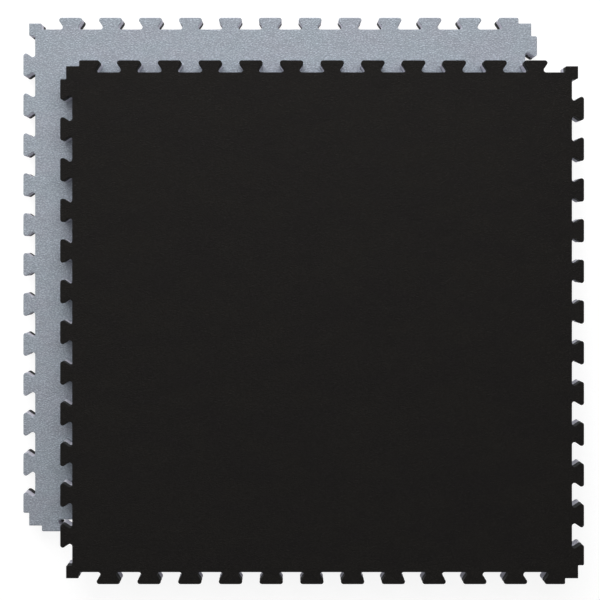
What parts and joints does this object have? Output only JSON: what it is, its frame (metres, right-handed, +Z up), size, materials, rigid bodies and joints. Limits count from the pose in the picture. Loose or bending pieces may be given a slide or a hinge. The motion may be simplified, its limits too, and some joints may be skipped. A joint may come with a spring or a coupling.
{
  "type": "interlocking foam floor mats",
  "caption": "Reversible puzzle-edge gym floor mats of two-colour EVA foam, one laid grey side up and another over it black side up.",
  "frame": {"origin": "on the floor, under the middle of the pair of mats", "axes": "+Z up out of the floor; +X to the right and +Y to the back, along the sides of the mats; the upper mat lies further right and further front"},
  "size_m": [1.105, 1.115, 0.08],
  "materials": {
    "grey_foam": "matt closed-cell EVA foam with a fine pebbled skin, grey",
    "black_foam": "matt closed-cell EVA foam with a fine pebbled skin, black"
  },
  "bodies": {
    "lower_mat": {"lower_mat_grey_sheet": "grey_foam", "lower_mat_black_sheet": "black_foam"},
    "upper_mat": {"upper_mat_grey_sheet": "grey_foam", "upper_mat_black_sheet": "black_foam"}
  },
  "joints": [
    {"name": "upper_mat_lift", "type": "slide", "parent": "lower_mat", "child": "upper_mat", "axis": [0, 0, 1], "range_m": [0, 0.3]}
  ]
}
